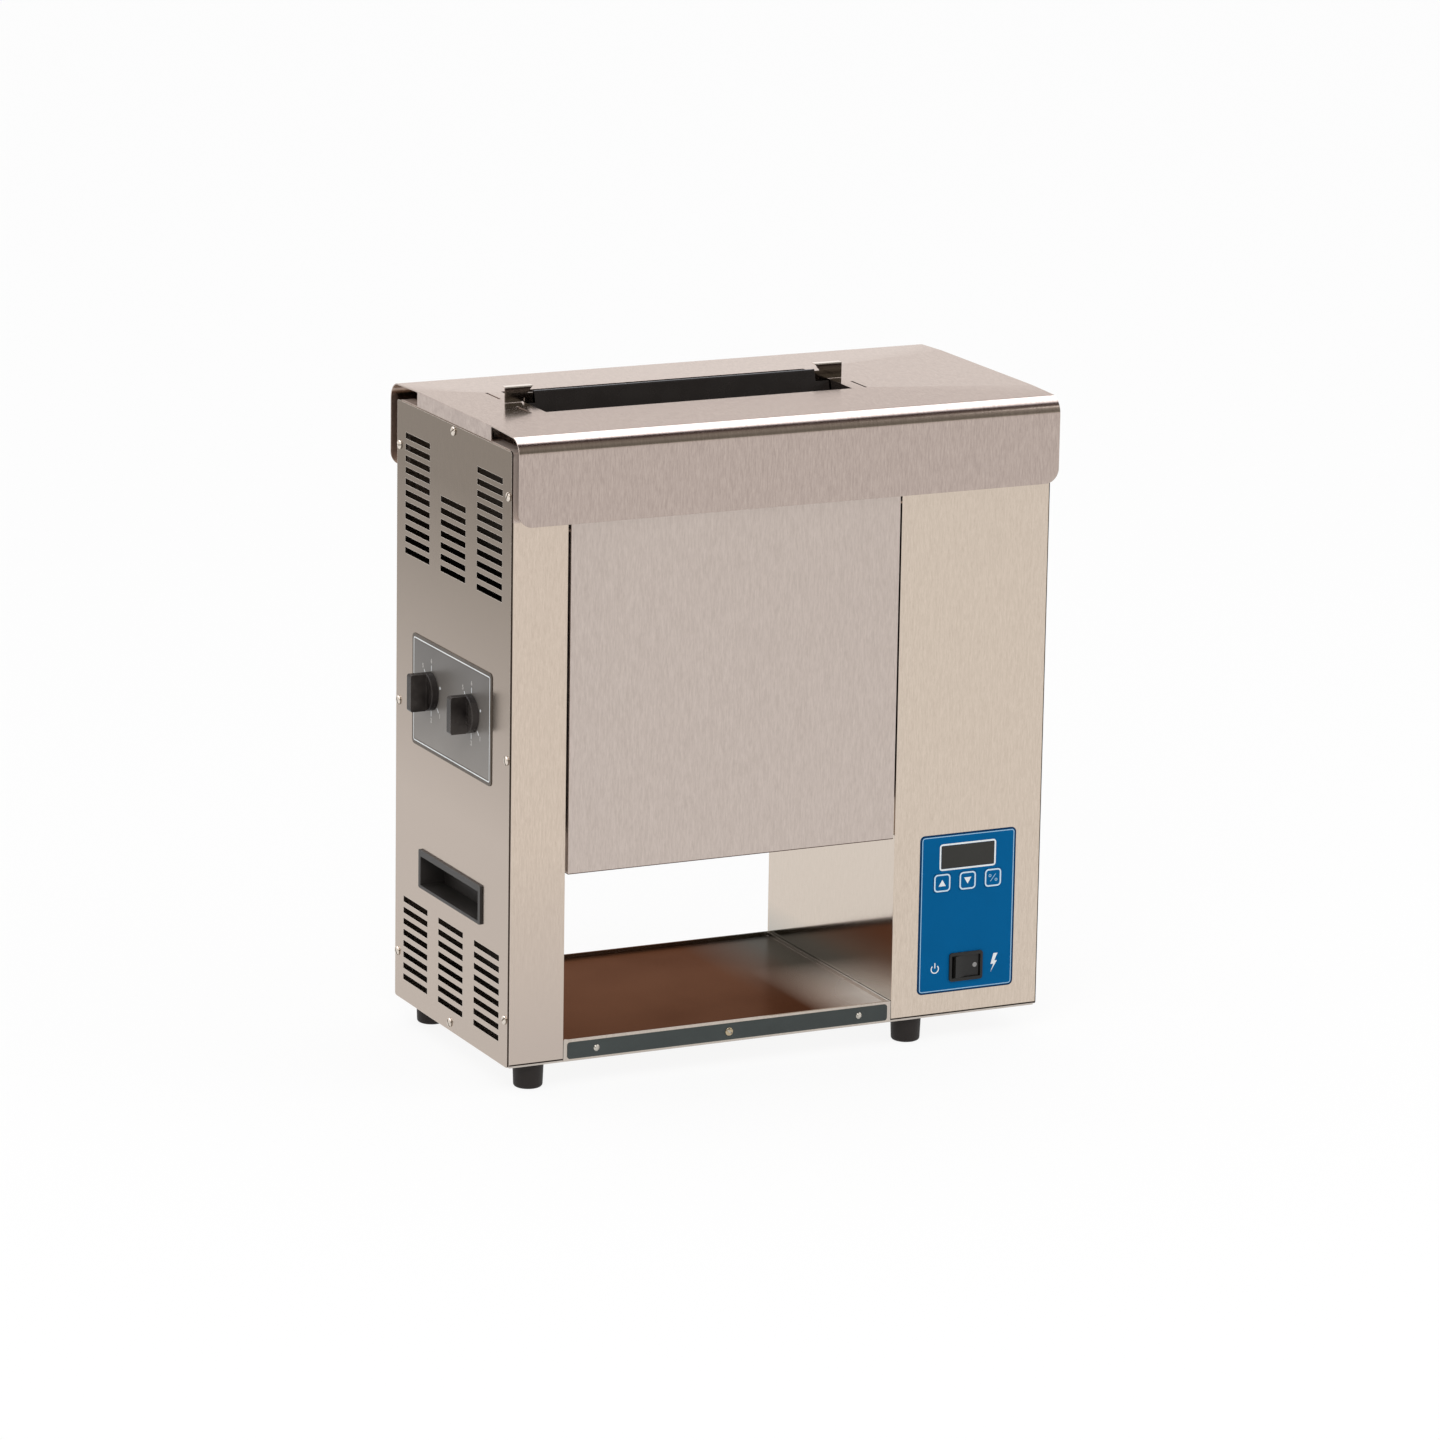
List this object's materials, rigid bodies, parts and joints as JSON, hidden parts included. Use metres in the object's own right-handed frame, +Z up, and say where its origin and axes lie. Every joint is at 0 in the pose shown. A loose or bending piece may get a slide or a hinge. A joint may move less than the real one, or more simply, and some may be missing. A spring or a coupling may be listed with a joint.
{
  "type": "vertical contact toaster",
  "caption": "Countertop vertical contact toaster: slot in a lift-off cover, belts beside an upright heated platen, open landing tray, dial knobs and a control panel.",
  "frame": {"origin": "centre of the toaster's bounding box in plan, on the surface that the feet stand on", "axes": "+Z up; the front, with the controls on its right, faces -Y; the knobs are on the -X end"},
  "size_m": [0.6019, 0.31, 0.6629],
  "materials": {
    "steel": "brushed",
    "dark_steel": "mill",
    "zinc": "zinc plated",
    "aluminium": "cast",
    "bronze": "oiled",
    "black_plastic": "moulded",
    "rubber": "matt",
    "silicone": "satin",
    "release_sheet": "glossy",
    "overlay_blue": "satin",
    "dial_grey": "satin",
    "strip_grey": "satin",
    "display": "glossy",
    "board": "lacquered",
    "motor_paint": "painted",
    "iron_core": "lacquered",
    "terminal_white": "moulded"
  },
  "bodies": {
    "cabinet": {"base_pan": "steel", "left_housing": "steel", "right_housing": "steel", "left_chamber_wall": "steel", "right_chamber_wall": "steel", "upper_rails": "steel", "left_end_panel": "steel", "right_end_panel": "steel", "end_panel_screws": "zinc", "left_grip_pocket": "black_plastic", "right_grip_pocket": "black_plastic", "rubber_feet": "rubber", "foot_bolts": "zinc", "dial_plate": "dial_grey", "shaft_bushes": "bronze", "platen": "aluminium", "heating_elements": "dark_steel", "platen_brackets": "dark_steel", "thermocouple_probe": "dark_steel", "high_limit_thermostat": "black_plastic", "drive_chain": "dark_steel", "drive_brackets": "zinc", "gearmotor": "motor_paint", "fan_frame": "black_plastic", "control_overlay": "overlay_blue", "display_window": "display", "controller_board": "board", "switch_body": "black_plastic", "transformer": "iron_core", "terminal_block": "terminal_white", "cord_gland": "black_plastic"},
    "top_cover": {"top_cover": "steel"},
    "sheet_hanger": {"sheet_hanger": "steel", "release_sheet": "release_sheet"},
    "front_access_panel": {"front_access_panel": "steel"},
    "rear_access_panel": {"rear_access_panel": "steel"},
    "landing_tray": {"landing_tray": "steel", "lip_strip": "strip_grey", "strip_studs": "zinc"},
    "front_knob": {"front_knob": "black_plastic", "front_cam_shaft": "dark_steel"},
    "rear_knob": {"rear_knob": "black_plastic", "rear_cam_shaft": "dark_steel"},
    "front_conveyor": {"front_conveyor_frame": "dark_steel", "front_belt": "silicone"},
    "rear_conveyor": {"rear_conveyor_frame": "dark_steel", "rear_belt": "silicone"},
    "front_drive": {"front_drive_roller": "dark_steel", "front_drive_sprocket": "dark_steel"},
    "rear_drive": {"rear_drive_roller": "dark_steel", "rear_drive_sprocket": "dark_steel"},
    "front_idle": {"front_idle_roller": "dark_steel"},
    "rear_idle": {"rear_idle_roller": "dark_steel"},
    "motor_sprocket": {"motor_sprocket": "dark_steel"},
    "idler_sprocket": {"idler_sprocket": "dark_steel"},
    "fan_rotor": {"fan_rotor": "black_plastic"},
    "switch_rocker": {"switch_rocker": "black_plastic"},
    "up_key": {"up_key": "overlay_blue"},
    "down_key": {"down_key": "overlay_blue"},
    "scale_key": {"scale_key": "overlay_blue"}
  },
  "joints": [
    {"name": "top_cover_lift", "type": "slide", "parent": "cabinet", "child": "top_cover", "axis": [0, 0, 1], "range_m": [0, 0.12]},
    {"name": "sheet_hanger_lift", "type": "slide", "parent": "top_cover", "child": "sheet_hanger", "axis": [0, 0, 1], "range_m": [0, 0.41]},
    {"name": "front_panel_swing", "type": "hinge", "parent": "cabinet", "child": "front_access_panel", "pos_m": [-0.04065, -0.13425, 0.5495], "axis": [-1, 0, 0], "range_deg": [0, 80]},
    {"name": "rear_panel_swing", "type": "hinge", "parent": "cabinet", "child": "rear_access_panel", "pos_m": [-0.04065, 0.13425, 0.5495], "axis": [1, 0, 0], "range_deg": [0, 80]},
    {"name": "tray_pull", "type": "slide", "parent": "cabinet", "child": "landing_tray", "axis": [0, -1, 0], "range_m": [0, 0.28]},
    {"name": "front_knob_turn", "type": "hinge", "parent": "cabinet", "child": "front_knob", "pos_m": [-0.2348, -0.04875, 0.357], "axis": [1, 0, 0], "range_deg": [-91, 181]},
    {"name": "rear_knob_turn", "type": "hinge", "parent": "cabinet", "child": "rear_knob", "pos_m": [-0.2348, 0.04875, 0.357], "axis": [1, 0, 0], "range_deg": [-91, 181]},
    {"name": "front_conveyor_swing", "type": "hinge", "parent": "cabinet", "child": "front_conveyor", "pos_m": [-0.04065, -0.0498, 0.588], "axis": [-1, 0, 0], "range_deg": [-0.58, 1.16]},
    {"name": "rear_conveyor_swing", "type": "hinge", "parent": "cabinet", "child": "rear_conveyor", "pos_m": [-0.04065, 0.0498, 0.588], "axis": [1, 0, 0], "range_deg": [-0.58, 1.16]},
    {"name": "front_drive_spin", "type": "hinge", "parent": "cabinet", "child": "front_drive", "pos_m": [-0.04065, -0.0498, 0.588], "axis": [1, 0, 0], "continuous": true},
    {"name": "rear_drive_spin", "type": "hinge", "parent": "cabinet", "child": "rear_drive", "pos_m": [-0.04065, 0.0498, 0.588], "axis": [1, 0, 0], "continuous": true},
    {"name": "front_idle_spin", "type": "hinge", "parent": "front_conveyor", "child": "front_idle", "pos_m": [-0.04065, -0.0498, 0.248], "axis": [1, 0, 0], "continuous": true},
    {"name": "rear_idle_spin", "type": "hinge", "parent": "rear_conveyor", "child": "rear_idle", "pos_m": [-0.04065, 0.0498, 0.248], "axis": [1, 0, 0], "continuous": true},
    {"name": "motor_spin", "type": "hinge", "parent": "cabinet", "child": "motor_sprocket", "pos_m": [0.1517, 0, 0.5186], "axis": [1, 0, 0], "continuous": true},
    {"name": "idler_spin", "type": "hinge", "parent": "cabinet", "child": "idler_sprocket", "pos_m": [0.1517, -0.103, 0.58], "axis": [1, 0, 0], "continuous": true},
    {"name": "fan_spin", "type": "hinge", "parent": "cabinet", "child": "fan_rotor", "pos_m": [0.2847, 0, 0.094], "axis": [1, 0, 0], "continuous": true},
    {"name": "rocker_tilt", "type": "hinge", "parent": "cabinet", "child": "switch_rocker", "pos_m": [0.2179, -0.13355, 0.075], "axis": [0, 0, -1], "range_deg": [0, 16]},
    {"name": "up_key_press", "type": "slide", "parent": "cabinet", "child": "up_key", "axis": [0, 1, 0], "range_m": [0, 0.0005], "stiffness_N_per_m": 800},
    {"name": "down_key_press", "type": "slide", "parent": "cabinet", "child": "down_key", "axis": [0, 1, 0], "range_m": [0, 0.0005], "stiffness_N_per_m": 800},
    {"name": "scale_key_press", "type": "slide", "parent": "cabinet", "child": "scale_key", "axis": [0, 1, 0], "range_m": [0, 0.0005], "stiffness_N_per_m": 800}
  ],
  "couplings": [
    {"joint": "front_knob_turn", "follows": "front_conveyor_swing", "ratio": 155.51},
    {"joint": "rear_knob_turn", "follows": "rear_conveyor_swing", "ratio": 155.51},
    {"joint": "rear_drive_spin", "follows": "front_drive_spin", "ratio": -1},
    {"joint": "front_idle_spin", "follows": "front_drive_spin", "ratio": 1},
    {"joint": "rear_idle_spin", "follows": "front_drive_spin", "ratio": -1},
    {"joint": "motor_spin", "follows": "front_drive_spin", "ratio": -1.3636},
    {"joint": "idler_spin", "follows": "front_drive_spin", "ratio": -1.3636}
  ]
}
